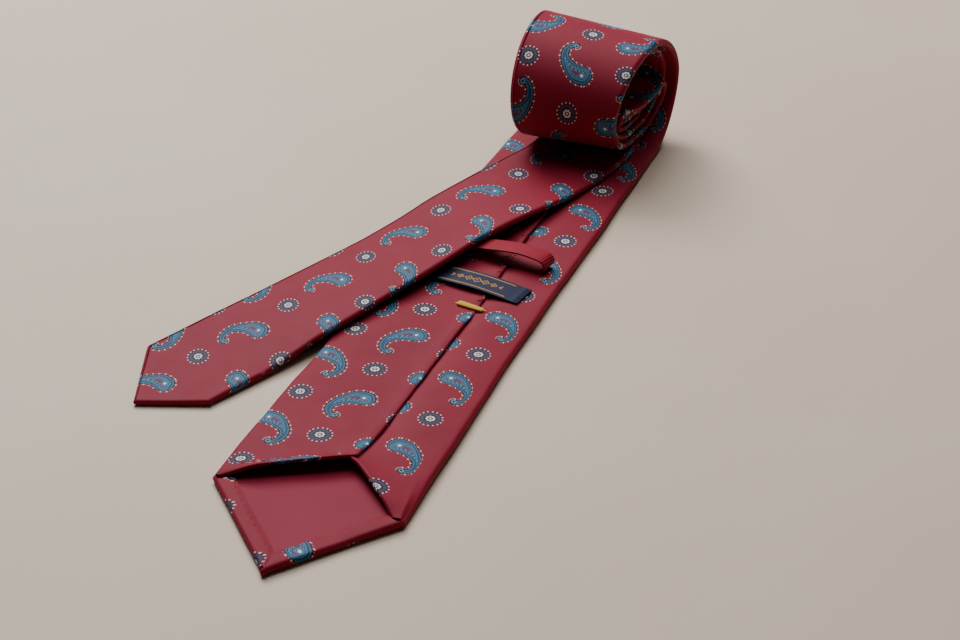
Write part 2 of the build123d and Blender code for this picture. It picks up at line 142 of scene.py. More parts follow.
def turn_line(turns):
    """Winding surface of the roll's outer turn: (y, z) and its direction of travel."""
    angle = turns * TURN
    reach = ROLL_REACH - TURN_PITCH * turns
    half = ROLL_HALF_HEIGHT - (TURN_PITCH + TOP_PITCH) / 2 * turns
    centre = ROLL_CENTRE + (TURN_PITCH - TOP_PITCH) / 2 * turns
    ty = reach * np.cos(angle) - TURN_PITCH / TURN * np.sin(angle)
    tz = half * np.sin(angle) + (TURN_PITCH - TOP_PITCH) / 2 / TURN
    tz = tz + (TURN_PITCH + TOP_PITCH) / 2 / TURN * np.cos(angle)
    return ROLL_Y + reach * np.sin(angle), centre - half * np.cos(angle), np.arctan2(tz, ty)


def neck_line(shares):
    """The same for the neck, which goes on from there along its path with rounded corners."""
    corners = np.array(NECK_PATH, float)
    rows, heading = [], 0.0
    for k in range(1, len(corners) - 1):
        into, out = corners[k] - corners[k - 1], corners[k + 1] - corners[k]
        first = math.atan2(into[1], into[0])
        first += round((heading - first) / TURN) * TURN
        bend = (math.atan2(out[1], out[0]) - first + math.pi) % TURN - math.pi
        heading, radius = first + bend, NECK_ROUNDS[k - 1]
        side = math.copysign(1, bend)
        start = corners[k] - into / np.linalg.norm(into) * radius * math.tan(abs(bend) / 2)
        centre = start + radius * side * np.array([-math.sin(first), math.cos(first)])
        if k == 1:
            rows.append((*corners[0], first))
        for turn in first + bend * np.linspace(0, 1, 13):
            rows.append((*(centre + radius * side * np.array([math.sin(turn), -math.cos(turn)])), turn))
    rows.append((*corners[-1], heading))
    rows = np.array(rows)
    gone = sums(np.hypot(*np.diff(rows[:, :2], axis=0).T))
    return [np.interp(shares * gone[-1], gone, rows[:, k]) for k in range(3)]


def roll_run(start_s, line, places, edges, thick, inner=False, cone=0.0, swing=0.0):
    """One half of the strip along a winding surface, on its outer or its inner side."""
    y, z, heading = line(places)
    turned = heading - math.pi / 2 + (math.pi if inner else 0) + swing
    left, right = read(edges, places)
    zero, one = np.zeros_like(y), np.ones_like(y)
    up = np.stack([zero, np.cos(turned), np.sin(turned)], -1)
    origin = np.stack([zero, y, z], -1) + up * LAYER_GAP
    step = np.linalg.norm(np.diff(origin + up * (thick / 2)[:, None], axis=0), axis=1)
    s = start_s + sums(step)
    narrow = cone * np.sin(math.pi * places)[:, None] ** 2 * (1 if inner else -1)
    across = np.stack([one, zero, zero], -1) + up * narrow
    return Run(s, origin, across, up, left, right, thick)


def tail_frames(s):
    """Origin, across and up of the tail's underside."""
    fine = np.linspace(-6, 322, 1313)
    heading = np.radians(read(TAIL_HEADING, (fine[1:] + fine[:-1]) / 2)[0])
    step = fine[1] - fine[0]
    x = sums(np.sin(heading) * step)
    y = sums(np.cos(heading) * step)
    x += TAIL_TIP[0] - np.interp(0, fine, x)
    y += TAIL_TIP[1] - np.interp(0, fine, y)
    h = np.radians(read(TAIL_HEADING, s)[0])
    near, far = read(TAIL_RISE, s)
    left, right = read(TAIL_EDGES, s)
    tilt = np.arcsin((near - far) / (right - left))
    z = far + (near - far) * -left / (right - left)
    origin = np.stack([np.interp(s, fine, x), np.interp(s, fine, y), z], -1)
    across = np.stack([np.cos(h) * np.cos(tilt), -np.sin(h) * np.cos(tilt), np.sin(tilt)], -1)
    along = np.stack([np.sin(h), np.cos(h), np.zeros_like(h)], -1)
    return origin, across, np.cross(across, along)


def tip_edge(tip, corner, s):
    """Where the straight side of a tip, from its point to a corner, stands at s."""
    return tip[0] + (corner[0] - tip[0]) * (s - tip[1]) / (corner[1] - tip[1])


def soften(run, first, last, passes):
    """Ease the kinks between table rows out of a run's frames, between two places."""
    inside = (run.s > first) & (run.s < last)
    for _ in range(passes):
        for table in (run.origin, run.across, run.up):
            eased = table.copy()
            eased[1:-1] = (table[:-2] + 2 * table[1:-1] + table[2:]) / 4
            table[inside] = eased[inside]
    return run


# Points across each part of the silk, and steps round the tip's point.
FRONT_COUNT, ARC_COUNT, FLAP_COUNT, HEM_COUNT, HEM_TURN_COUNT = 26, 8, 16, 6, 4
BORDER_COUNT, POINT_COUNT = 5, 6
# How far the left flap laps over the seam, how far the right one goes on under it, and their hems.
FLAP_OVERLAP, FLAP_UNDERLAP, HEM_WIDTH = 1.2, 3.0, 8.0
# Beside the seam the left flap stands this much higher, and the right one this much lower.
SEAM_STEP = 1.5
# Past the first of these the roll holds the back flat, and before the second it is free.
ROLLED_S = (350, 330)
# The cloth's lowest places rest this far over the surface under it.
FLOOR_GAP = 0.02


def silk_mesh(name, run, rows, end, lattice, waver):
    """The silk of one end of the tie: front, folded sides, flaps that meet at the seam, and tip border.

    end holds the tip, the two corners, the apex of the V, the seam, the border's width, how far each
    flap stands up along the V, how full the back is, and where trimmings hold the back down.
    """
    tip, corners, apex = end["tip"], end["corners"], end["apex"]
    verts, cloth, faces, bunched = [], [], [], {}

    def free(s):
        """1 where nothing holds the back down, and 0 under a trimming."""
        loose = np.ones_like(np.asarray(s, float)) * end["puff"]
        for at, reach in end["held"]:
            loose = loose * (1 - np.exp(-((s - at) / reach) ** 4))
        return loose * smooth(*ROLLED_S, s)

    def add(a, s, h, q, t, folded):
        verts.append((a, s, h))
        cloth.append((q, t, folded))
        return len(verts) - 1

    def arc(a, s, r, out_a, out_s, folded, stretch=1.0):
        """The fold round an edge at (a, s), outwards along (out_a, out_s)."""
        chain = []
        for k in range(1, ARC_COUNT + 1):
            alpha = math.pi * k / ARC_COUNT
            out, far = r * math.sin(alpha) * stretch, r * alpha
            chain.append(add(a + out_a * out, s + out_s * out, r - r * math.cos(alpha),
                             a + out_a * far, s + out_s * far, folded))
        return chain

    def border(side, edge, s, r):
        """From the front round the side of the tip to the silk that is turned over it."""
        na, ns = inward[side]
        reach = min(end["border"], 0.97 * math.hypot(edge - tip[0], s - rows[0]) + 0.02)
        chain = arc(edge, s, r, -na, -ns, 0)
        for k in range(1, BORDER_COUNT + 1):
            t = reach * k / BORDER_COUNT
            drop = 0.5 * smooth(0.6, 1.0, k / BORDER_COUNT)
            far, eased = r * math.pi + t, r * math.pi + t * BORDER_EASE
            chain.append(add(edge + na * t, s + ns * t, 2 * r - drop, edge - na * far, s - ns * far, 0))
            bunched[chain[-1]] = (edge - na * eased, s - ns * eased)
        return chain

    def flap(side, edge, s, r):
        """From the front round a folded side to the flap, and to the hem that is turned under at the seam."""
        over, (corner_a, corner_s) = side < 0, corners[side]
        meet = read(end["seam"], s)[0]
        if s < apex[1]:
            start_a = corner_a - side * end["inset"][side]
            meet = start_a + (apex[0] - start_a) * (s - corner_s) / (apex[1] - corner_s)
        meet += FLAP_OVERLAP if over else -FLAP_UNDERLAP * smooth(apex[1] - 6, apex[1] + 2, s)
        width = abs(meet - edge)
        chain = arc(edge, s, r, side, 0, 1)
        in_v = 1 - smooth(apex[1] - 4, apex[1] + 24, s)
        stand = end["raise"][side] * in_v * smooth(corner_s - 2, corner_s + 9, s)
        for k in range(1, FLAP_COUNT + 1):
            t = k / FLAP_COUNT
            a = edge + (meet - edge) * t
            left_over = abs(meet - a)
            lift = 0.5 * math.sin(math.pi * t) * min(1, width / 25) + 0.6 * math.exp(-abs(s - corner_s) / 10)
            lift += SEAM_STEP * math.exp(-left_over / 6) * (1 - in_v) if over else 0.0
            lift = lift * free(s) + stand * math.exp(-left_over / 11)
            if not over:
                lift -= SEAM_STEP * (1 - in_v) * smooth(*ROLLED_S, s) * math.exp(-((left_over / 6.5) ** 2))
            chain.append(add(a, s, 2 * r + lift, edge + side * (r * math.pi + width * t), s, 1))
        hem, top, bend = min(HEM_WIDTH, 0.85 * width), verts[-1][2], end["hem_bend"][side]
        for k in range(1, HEM_COUNT + 1):
            turned = min(k, HEM_TURN_COUNT) / HEM_TURN_COUNT
            t = max(0, k - HEM_TURN_COUNT) / (HEM_COUNT - HEM_TURN_COUNT)
            a = meet - side * bend * math.sin(math.pi * turned) + side * hem * t
            far = width + bend * math.pi * turned + hem * t
            chain.append(add(a, s, top - bend + bend * math.cos(math.pi * turned),
                             edge + side * (r * math.pi + far), s, 1))
        return chain

    inward = {}
    for side in (-1, 1):
        run_a, run_s = corners[side][0] - tip[0], corners[side][1] - tip[1]
        inward[side] = (-side * run_s / math.hypot(run_a, run_s), abs(run_a) / math.hypot(run_a, run_s))
    share = (1 - np.cos(np.linspace(0, math.pi, FRONT_COUNT))) / 2
    share = 0.6 * share + 0.4 * np.linspace(0, 1, FRONT_COUNT)    # closer together near the edges
    grid, chains = [], {-1: [], 1: []}
    for s in rows:
        r = run.part(run.thick, s) / 2
        limit = {}
        for side, table in ((-1, run.left), (1, run.right)):
            edge, inset = run.part(table, s), r
            if s < corners[side][1]:
                edge = tip_edge(tip, corners[side], s)
                inset = r / abs(inward[side][0])
            limit[side] = edge - side * inset
        if limit[-1] >= limit[1]:
            limit = {-1: tip[0], 1: tip[0]}
        grid.append([add(a, s, 0.0, a, s, 0) for a in limit[-1] + (limit[1] - limit[-1]) * share])
        for side, start in ((-1, grid[-1][0]), (1, grid[-1][-1])):
            kind = border if s < corners[side][1] else flap
            chains[side].append((kind, [start] + kind(side, limit[side], s, r)))

    def quad(*corner):
        corner = [v for k, v in enumerate(corner) if v != corner[k - 1]]
        if len(corner) > 2:
            faces.append(tuple(corner))

    def weave(low, high, count):
        for k in range(count):
            quad(low[k], low[k + 1], high[k + 1], high[k])

    for low, high in zip(grid, grid[1:]):
        weave(low, high, FRONT_COUNT - 1)
    for side in (-1, 1):
        for (kind, low), (next_kind, high) in zip(chains[side], chains[side][1:]):
            weave(low, high, len(low) - 1 if kind == next_kind else ARC_COUNT)

    # The rounded point of the tip, between its two borders.
    r = run.part(run.thick, rows[0]) / 2
    first, final = (math.atan2(-inward[side][1], -inward[side][0]) % TURN for side in (-1, 1))
    last = chains[-1][0][1][:ARC_COUNT + 1]
    for step in range(1, POINT_COUNT + 1):
        turn = first + (final - first) * step / POINT_COUNT
        bulge = 1 + 0.3 * math.sin(math.pi * step / POINT_COUNT)
        chain = [grid[0][0]] + arc(verts[grid[0][0]][0], rows[0], r, math.cos(turn), math.sin(turn), 0, bulge)
        if step == POINT_COUNT:
            chain = chains[1][0][1][:ARC_COUNT + 1]
        weave(last, chain, ARC_COUNT)
        last = chain

    a, s, h = np.array(verts).T
    cloth = np.array(cloth)
    on_back = smooth(0.35, 0.8, h / run.part(run.thick, s))
    ripple = waves(cloth[:, 0], s, 11, 55) + 0.35 * waves(cloth[:, 0], s, 12, 21)
    h = h + waver * on_back * (0.3 + 0.7 * free(s)) * ripple
    a = a + 0.3 * waves(np.sign(a - 2) * 40, s, 13, 70)
    printed = cloth.copy()
    for k, place in bunched.items():
        printed[k, :2] = place
    cells, c = lattice(a, s, printed)[0], lattice(a, s, cloth)[1]
    places = run.point(a, s, h)
    places[:, 2] = np.maximum(places[:, 2], FLOOR_GAP)
    return finish_mesh(name, places, faces, np.stack([c, cloth[:, 1]], -1), cells)


def grid_faces(rows, columns):
    """Faces of a grid whose places are listed row by row."""
    return [(k, k + 1, k + columns + 1, k + columns)
            for k in range((rows - 1) * columns) if (k + 1) % columns]


def new_object(name, data):
    obj = bpy.data.objects.new(name, data)
    bpy.context.scene.collection.objects.link(obj)
    return obj


def finish_mesh(name, places, faces, cloth, cells=None):
    """A smooth mesh in metres with its cloth coordinates, in mm, as UV maps."""
    mesh = bpy.data.meshes.new(name)
    world = (np.asarray(places, float) + ORIGIN) * MM
    mesh.from_pydata(world.tolist(), [], faces)
    mesh.update()
    corners = np.zeros(len(mesh.loops), int)
    mesh.loops.foreach_get("vertex_index", corners)
    layers = [("Cloth", np.asarray(cloth, float))]
    if cells is not None:
        layers += [("Cell", cells[:, :2]), ("Pitch", cells[:, 2:])]
    for layer, values in layers:
        uv = mesh.uv_layers.new(name=layer)
        uv.data.foreach_set("uv", values[corners].astype(np.float32).ravel())
    mesh.polygons.foreach_set("use_smooth", [True] * len(mesh.polygons))
    mesh.update()
    return new_object(name, mesh)


# ---- The print's lattice ----

# Across the front of the wide blade a motif stands every FRONT_PITCH, and on its folded back every
# FLAP_PITCH.  A cell has a medallion where column + row is even, and a paisley where it is odd.
FRONT_PITCH, FLAP_PITCH = 25.4, 22.0
LEFT_COLUMN, RIGHT_COLUMN, RIGHT_INDEX = -13.5, 24.0, -5
FRONT_COLUMN, FRONT_INDEX = -1.0, -3
ROW_ZERO = 40.2
ROW_PITCH = [
    (-80, 27.5), (340, 27.5), (350, 27.7), (432, 27.7), (445, 24.0), (508, 24.0), (520, 27.5), (1100, 27.5),
]
# Up to here the print keeps its columns, and beyond it drifts with the edges.
SETTLED_S = 300.0
# How far the left flap's print has slipped beside the seam, in mm across and rows along.
SLIP_ACROSS, SLIP_ALONG = 4.0, 0.22
# How far in from an edge the front's columns end, and the flap's begin.
FRONT_TURN, FLAP_TURN = 10, 8
TAIL_COLUMN = [(-10, -5), (16, -6), (95, -7.5), (152, -12.5), (205, -13.8), (252, -9.5), (330, -8)]
TAIL_ROW_ZERO, TAIL_ROW_PITCH, TAIL_SLANT = 41.0, 27.3, 0.2
TAIL_NEAR_STRETCH = 1.37
# How far the print follows the border that is turned over the tip.
BORDER_EASE = 0.6


def row_number(s):
    """Row of the print at each place along the wide blade, and the rows' pitch there."""
    fine = np.arange(-80, 1100, 1.0)
    pitch = read(ROW_PITCH, fine)[0]
    count = sums(2 / (pitch[1:] + pitch[:-1]))
    return np.interp(s, fine, count) - np.interp(ROW_ZERO, fine, count), np.interp(s, fine, pitch)


def wide_lattice(run):
    """Column and row of the print, and their pitches, over the wide blade."""
    def bridge(p, p1, v1, m1, p2, v2, m2):
        span = p2 - p1
        t = np.clip((p - p1) / span, 0, 1)
        value = (2 * t**3 - 3 * t**2 + 1) * v1 + (t**3 - 2 * t**2 + t) * span * m1
        value += (-2 * t**3 + 3 * t**2) * v2 + (t**3 - t**2) * span * m2
        slope = (6 * t**2 - 6 * t) * (v1 - v2) / span + (3 * t**2 - 4 * t + 1) * m1 + (3 * t**2 - 2 * t) * m2
        return value, slope

    def lattice(a, s, cloth):
        q, t, folded = cloth.T
        column = (-q + FRONT_COLUMN) / FRONT_PITCH + FRONT_INDEX
        slope = np.full_like(column, 1 / FRONT_PITCH)
        r = run.part(run.thick, s) / 2
        slipped = 0.0
        for side, table in ((-1, run.left), (1, run.right)):
            edge = run.part(table, s)
            drift = 2 * (edge - np.interp(SETTLED_S, run.s, table)) * (s > SETTLED_S)
            flap_a = lambda p: 2 * (edge - side * r) + side * (r * math.pi) - p
            zero, index = (LEFT_COLUMN, 0) if side < 0 else (RIGHT_COLUMN, RIGHT_INDEX)
            slip = lambda x: smooth(-2.2, 1.8, x) * (side < 0) * (s < SETTLED_S)
            on_flap = lambda x: (x - drift - zero - SLIP_ACROSS * slip(x)) / FLAP_PITCH + index
            front_q, flap_x = edge - side * FRONT_TURN, edge - side * FLAP_TURN
            flap_q = 2 * (edge - side * r) + side * r * math.pi - flap_x
            v1 = (-front_q + FRONT_COLUMN) / FRONT_PITCH + FRONT_INDEX
            bent, bent_slope = bridge(-q, -front_q, v1, 1 / FRONT_PITCH,
                                      -flap_q, on_flap(flap_x), 1 / FLAP_PITCH)
            beyond = side * (q - flap_q) > 0
            turning = (side * (q - front_q) > 0) & ~beyond & (folded > 0)
            column = np.where(turning, bent, column)
            slope = np.where(turning, bent_slope, slope)
            flat = beyond & (folded > 0)
            column = np.where(flat, on_flap(flap_a(q)), column)
            slope = np.where(flat, 1 / FLAP_PITCH, slope)
            slipped = slipped + SLIP_ALONG * slip(flap_a(q)) * flat
        row, pitch = row_number(t)
        return np.stack([column, row + slipped, 1 / slope, pitch], -1), -q

    return lattice


def tail_lattice(a, s, cloth):
    """The same over the tail, whose print runs on evenly round its sides."""
    q, t = cloth[:, 0], cloth[:, 1]
    aside = q - read(TAIL_COLUMN, t)[0]
    row = (t - TAIL_ROW_ZERO + TAIL_SLANT * aside) / TAIL_ROW_PITCH
    # Past the medallions on the near side the next column stands further out, half round the edge.
    past = np.maximum(aside - FRONT_PITCH / 2, 0)
    column = (aside - past + past / TAIL_NEAR_STRETCH) / FRONT_PITCH
    pitch = FRONT_PITCH * np.where(past > 0, TAIL_NEAR_STRETCH, 1.0)
    return np.stack([column, row, pitch, np.full_like(row, TAIL_ROW_PITCH)], -1), q


# ---- Silk ----

flat_s = np.linspace(-52, ROLL_Y, 197)
left, right = read(BLADE_EDGES, flat_s)
settle = 0.2 * smooth(300, 340, flat_s)
flat_thick = 3.3 + 0.7 * smooth(2, 26, flat_s) - settle
ones, zeros = np.ones_like(flat_s), np.zeros_like(flat_s)
flat = Run(flat_s, np.stack([zeros, flat_s, flat_thick + settle], -1), np.stack([ones, zeros, zeros], -1),
           np.stack([zeros, zeros, -ones], -1), left, right, flat_thick)
turns = np.linspace(0.004, 0.996, 90)
shares = np.linspace(0.006, 1, 110)
neck_thick = 2.5 + 0.9 * smooth(0.14, 0, shares)
outer = roll_run(ROLL_Y + 0.5, turn_line, turns, ROLLED_BLADE, np.full(90, 3.8), cone=ROLL_CONE)
neck_out = roll_run(outer.s[-1] + 1, neck_line, shares, NECK_OUTER, neck_thick)
swing = np.linspace(0, math.pi * 0.94, 9)[1:]
fold = roll_run(neck_out.s[-1] + 0.8, neck_line, np.full(8, 1.0), NECK_OUTER, np.full(8, 2.5), swing=swing)
wide_run = flat.join(outer).join(neck_out).join(fold)

tail_s = np.linspace(-6, 321, 219)
origin, across, up = tail_frames(tail_s)
left, right = read(TAIL_EDGES, tail_s)
tail_thick = 2.6 + 0.8 * smooth(10, 45, tail_s)
tail_flat = soften(Run(tail_s, origin, across, up, left, right, tail_thick), 20, 321, 8)
tail_rolled = roll_run(322.0, turn_line, turns, ROLLED_TAIL, np.full(90, 3.4), inner=True, cone=ROLL_CONE)
neck_in = roll_run(tail_rolled.s[-1] + 1, neck_line, shares, NECK_INNER, neck_thick, inner=True)
tail_run = tail_flat.join(tail_rolled).join(neck_in)

# Where the bar tack, the label and the keeper stand along the wide blade.
TACK_Y, LABEL_Y, KEEPER_Y = 159.5, 179.5, 207.5

WIDE_END = {
    "tip": (4.5, -48.5), "corners": {-1: (-42, 0), 1: (42, 0)}, "apex": (7.0, 29.0), "seam": BLADE_SEAM,
    "border": 6.5, "raise": {-1: 4.4, 1: 3.4}, "hem_bend": {-1: 0.9, 1: 1.1}, "puff": 1.0,
    "inset": {-1: 1.5, 1: 4.5}, "held": [(TACK_Y, 7), (LABEL_Y, 11), (KEEPER_Y, 9)],
}
TAIL_END = {
    "tip": (0.0, 0.0), "corners": {-1: (-30.7, 32), 1: (23.7, 22)}, "apex": (-2.0, 52.0),
    "seam": [(52, -2), (1000, -2)], "border": 6.0, "raise": {-1: 0.0, 1: 0.0}, "hem_bend": {-1: 0.3, 1: 0.3},
    "puff": 0.0, "inset": {-1: 0.0, 1: 0.0}, "held": [],
}


def rows_from(start, last, corners):
    """Rows of a strip: close together at its tip, with one at each place named."""
    rows = list(np.arange(start, 40, 1.25)) + list(np.arange(41, last, 2.2)) + [last] + list(corners)
    rows = sorted(s for s in set(rows) if s >= start)
    return [s for k, s in enumerate(rows) if s in corners or k + 1 == len(rows) or rows[k + 1] - s > 0.4]


wide_silk = silk_mesh("wide_blade_silk", wide_run, rows_from(-46.2, wide_run.s[-1], [0, 29]),
                      WIDE_END, wide_lattice(wide_run), waver=0.45)
tail_silk = silk_mesh("tail_silk", tail_run, rows_from(1.9, tail_run.s[-1], [22, 32, 52]),
                      TAIL_END, tail_lattice, waver=0.3)


# ---- Material helpers ----

def plug(tree, value, socket):
    """Feed an input from a wire, from another node's socket or with a plain value."""
    if isinstance(value, Wire):
        tree.links.new(value.socket, socket)
    elif isinstance(value, bpy.types.NodeSocket):
        tree.links.new(value, socket)
    else:
        socket.default_value = (*value, 1) if isinstance(value, tuple) else value


def add_node(tree, kind, **inputs):
    """A shader node with some of its inputs fed."""
    node = tree.nodes.new("ShaderNode" + kind)
    for name, value in inputs.items():
        plug(tree, value, node.inputs[name])
    return node


class Wire:
    """A number in a material's node tree, for writing its formulas as arithmetic."""

    def __init__(self, tree, socket):
        self.tree, self.socket = tree, socket

    def op(self, kind, *others, clamp=False):
        node = self.tree.nodes.new("ShaderNodeMath")
        node.operation, node.use_clamp = kind, clamp
        for value, socket in zip((self, *others), node.inputs):
            plug(self.tree, value, socket)
        return Wire(self.tree, node.outputs[0])

    def __add__(self, other): return self.op("ADD", other)
    def __radd__(self, other): return self.op("ADD", other)
    def __mul__(self, other): return self.op("MULTIPLY", other)
    def __sub__(self, other): return self.op("SUBTRACT", other)
    def __rsub__(self, other): return (self * -1.0).op("ADD", other)
    def __truediv__(self, other): return self.op("DIVIDE", other)
    def __abs__(self): return self.op("ABSOLUTE")

    def below(self, edge, soft=0.12):
        """1 where this is under edge and 0 where it is over, with a short slope between."""
        return ((edge - self) * (1.0 / soft)).op("ADD", 0.5, clamp=True)

    def curve(self, points):
        """This number looked up on straight lines between (x, y) points, x from 0 to 1."""
        node = add_node(self.tree, "FloatCurve", Value=self)
        line = node.mapping.curves[0]
        line.points[0].location, line.points[1].location = points[0], points[-1]
        for point in points[1:-1]:
            line.points.new(*point)
        node.mapping.update()
        return Wire(self.tree, node.outputs[0])


def hypot(x, y):
    return (x * x + y * y).op("SQRT")


class Paint:
    """A Principled material under construction."""

    def __init__(self, name, roughness=0.5, **sockets):
        self.material = bpy.data.materials.new(name)
        self.material.use_nodes = True
        self.tree = self.material.node_tree
        self.shader = self.tree.nodes["Principled BSDF"]
        self.shader.inputs["Roughness"].default_value = roughness
        for socket, value in sockets.items():
            self.shader.inputs[socket.replace("_", " ")].default_value = value

    def parts(self, socket):
        split = add_node(self.tree, "SeparateXYZ", Vector=socket)
        return [Wire(self.tree, output) for output in split.outputs]

    def uv(self, name):
        node = add_node(self.tree, "UVMap")
        node.uv_map = name
        return self.parts(node.outputs[0])[:2]

    def place(self):
        """The place on the object, in mm."""
        node = add_node(self.tree, "TexCoord")
        return [part * 1000.0 for part in self.parts(node.outputs["Object"])]

    def noise(self, x, y, z=0.0, scale=1.0, detail=2.0):
        """Even noise around 0.5 at a place in mm; scale is features per mm."""
        place = add_node(self.tree, "CombineXYZ", X=x, Y=y, Z=z).outputs[0]
        node = add_node(self.tree, "TexNoise", Vector=place, Scale=scale, Detail=detail)
        return Wire(self.tree, node.outputs["Fac"])

    def mix(self, under, over, share):
        """Colour over laid on colour under, by share."""
        node = add_node(self.tree, "Mix")
        node.data_type = "RGBA"
        colours = [socket for socket in node.inputs if socket.type == "RGBA"]
        for value, socket in ((share, node.inputs[0]), (under, colours[0]), (over, colours[1])):
            plug(self.tree, value, socket)
        return [socket for socket in node.outputs if socket.type == "RGBA"][0]

    def layers(self, colour, *layers):
        """A colour with layers of (colour, share) laid on it one after another."""
        for over, share in layers:
            colour = self.mix(colour, over, share)
        return colour

    def finish(self, colour, height, depth, roughness=None):
        """Colour and bump, where height from 0 to 1 stands for depth in mm."""
        bump = add_node(self.tree, "Bump", Distance=depth * MM, Strength=1.0, Height=height)
        plug(self.tree, colour, self.shader.inputs["Base Color"])
        plug(self.tree, bump.outputs[0], self.shader.inputs["Normal"])
        if roughness is not None:
            plug(self.tree, roughness, self.shader.inputs["Roughness"])
        return self.material


def rgb(red, green, blue):
    """A linear colour from display values of 0 to 255."""
    shares = (v / 255 for v in (red, green, blue))
    return tuple(((v + 0.055) / 1.055) ** 2.4 if v > 0.04 else v / 12.92 for v in shares)


# ---- Materials ----

BURGUNDY_LIGHT, BURGUNDY_DARK = rgb(168, 38, 63), rgb(122, 19, 40)
NAVY, TEAL, PALE_TEAL = rgb(22, 24, 50), rgb(38, 98, 138), rgb(128, 176, 186)
PLUM, CREAM, WHITE, OLIVE = rgb(52, 36, 62), rgb(250, 212, 208), rgb(255, 250, 244), rgb(96, 70, 72)
DULL_RED, MAUVE, SLATE = rgb(104, 58, 84), rgb(112, 96, 116), rgb(66, 92, 122)
RIB_PITCH, RIB_TILT = 0.62, math.radians(6)
FRINGE_PITCH, BEAD_PITCH = 0.75, 1.5


def twill(paint, c, s, pitch=RIB_PITCH):
    """Height from 0 to 1 of twill ribs that run almost straight across the cloth."""
    wander = paint.noise(c, s, scale=0.05, detail=1.0) * 0.9
    along = s * math.cos(RIB_TILT) + c * math.sin(RIB_TILT) + wander
    across = c * math.cos(RIB_TILT) - s * math.sin(RIB_TILT)
    rib = (along * (TURN / pitch)).op("SINE") * 0.5 + 0.5
    floats = ((across * (TURN / 0.62)) + along * (math.pi / pitch)).op("SINE") * 0.5 + 0.5
    return rib.op("POWER", 0.8) * 0.8 + rib * floats * 0.2


def beads(paint, colour, along, out):
    """A string of beads on a colour, large and small in turn; along and out in mm."""
    at = along / BEAD_PITCH
    large = (at * 0.5).op("FRACT").op("LESS_THAN", 0.5)
    reach = hypot((at.op("FRACT") - 0.5) * BEAD_PITCH, out)
    return paint.mix(colour, CREAM, (reach - large * 0.22).below(0.24, 0.22) * (large * 0.45 + 0.5))


# A paisley's body in polar places about its curl: share of the sweep, middle and half width.
PAISLEY = [
    (0, 0.95, 0.62), (0.065, 0.9, 0.82), (0.134, 0.8, 0.93), (0.1875, 0.67, 0.88), (0.236, 0.49, 0.77),
    (0.306, 0.27, 0.6), (0.398, 0.12, 0.46), (0.532, 0.04, 0.35), (0.718, 0.06, 0.28), (0.884, 0.16, 0.23),
    (1, 0.18, 0.22),
]
PAISLEY_START, PAISLEY_END = math.radians(46), math.radians(262)


def outline_length(side, out):
    """Length along one side of a paisley at each share of its sweep, as a curve and its total."""
    share = np.linspace(0, 1, 200)
    middle, half = read(PAISLEY, share)
    reach = middle * 6.0 + 5.5 + side * (half * 5.4 + out)
    turn = PAISLEY_START + share * (PAISLEY_END - PAISLEY_START)
    x, y = reach * np.cos(turn), reach * np.sin(turn)
    gone = sums(np.hypot(np.diff(x), np.diff(y)))
    return [(float(share[k]), float(gone[k] / gone[-1])) for k in (*range(0, 199, 11), 199)], float(gone[-1])


def paisley(paint, x, y, colour):
    """A curled drop, head up and to the right, laid on a colour; x and y are from its middle in mm."""
    ex, ey = x - 0.3, y + 5.6
    reach = hypot(ex, ey)
    turn = ey.op("ARCTAN2", ex)
    turn = turn + turn.op("LESS_THAN", -math.pi / 3) * TURN
    start, end = PAISLEY_START, PAISLEY_END
    share = ((turn - start) / (end - start)).op("MAXIMUM", 0.0).op("MINIMUM", 1.0)
    middle = share.curve([(p, m) for p, m, _ in PAISLEY]) * 6.0 + 5.5
    half = share.curve([(p, h) for p, _, h in PAISLEY]) * 5.4
    # Beyond either end of the sweep only the round head and the curl's end count.
    beyond = ((turn - end).op("MAXIMUM", start - turn)).op("MAXIMUM", 0.0) * reach
    body = abs(reach - middle) - half + beyond * 2.0
    head_x, head_y = x - 5.6, y - 4.9
    head = hypot(head_x, head_y) - 4.6
    bud = hypot(x + 0.6, y + 11.4)
    edge = body.op("SMOOTH_MIN", head, 0.8).op("SMOOTH_MIN", bud - 1.3, 0.5)

    outside = (reach - middle).op("GREATER_THAN", 0.0)
    (outer, outer_length), (inner, inner_length) = outline_length(1, 0.8), outline_length(-1, 0.8)
    string = share.curve(inner) * inner_length
    string = string + (share.curve(outer) * outer_length - string) * outside
    at_head = head_x.op("GREATER_THAN", 1.5)
    string = string + (head_y.op("ARCTAN2", head_x) * 5.4 - string) * at_head
    fringe = (string * (TURN / FRINGE_PITCH)).op("SINE") * 0.16
    colour = paint.mix(colour, NAVY, (edge + fringe).below(0.6, 0.35) * 0.92)
    colour = beads(paint, colour, string, edge - 0.85)
    # Inside run a fine dark line, and rows of pale dots round a dull red core.
    colour = paint.layers(
        colour, (PALE_TEAL, abs(edge + 0.38).below(0.13, 0.2) * 0.7), (TEAL, edge.below(-0.62, 0.25)),
        (NAVY, abs(edge + 1.3).below(0.2, 0.25) * 0.6), (DULL_RED, edge.below(-3.0, 0.5) * 0.8))
    for row, step in ((2.0, 1.0), (2.9, 1.2), (3.8, 1.2)):
        dot = hypot(((string / step).op("FRACT") - 0.5) * step, edge + row)
        colour = paint.mix(colour, PALE_TEAL, dot.below(0.26, 0.2) * 0.8)
    eye = hypot(x - 5.4, y - 5.1)
    # The head holds a round eye, and the curl's end is a small rosette.
    return paint.layers(
        colour, (TEAL, eye.below(1.7, 0.4)), (PALE_TEAL, abs(eye - 1.35).below(0.16, 0.2) * 0.6),
        (WHITE, eye.below(0.72, 0.25)), (PALE_TEAL, abs(bud - 0.95).below(0.24, 0.2) * 0.8),
        (NAVY, bud.below(0.5, 0.2) * 0.9))


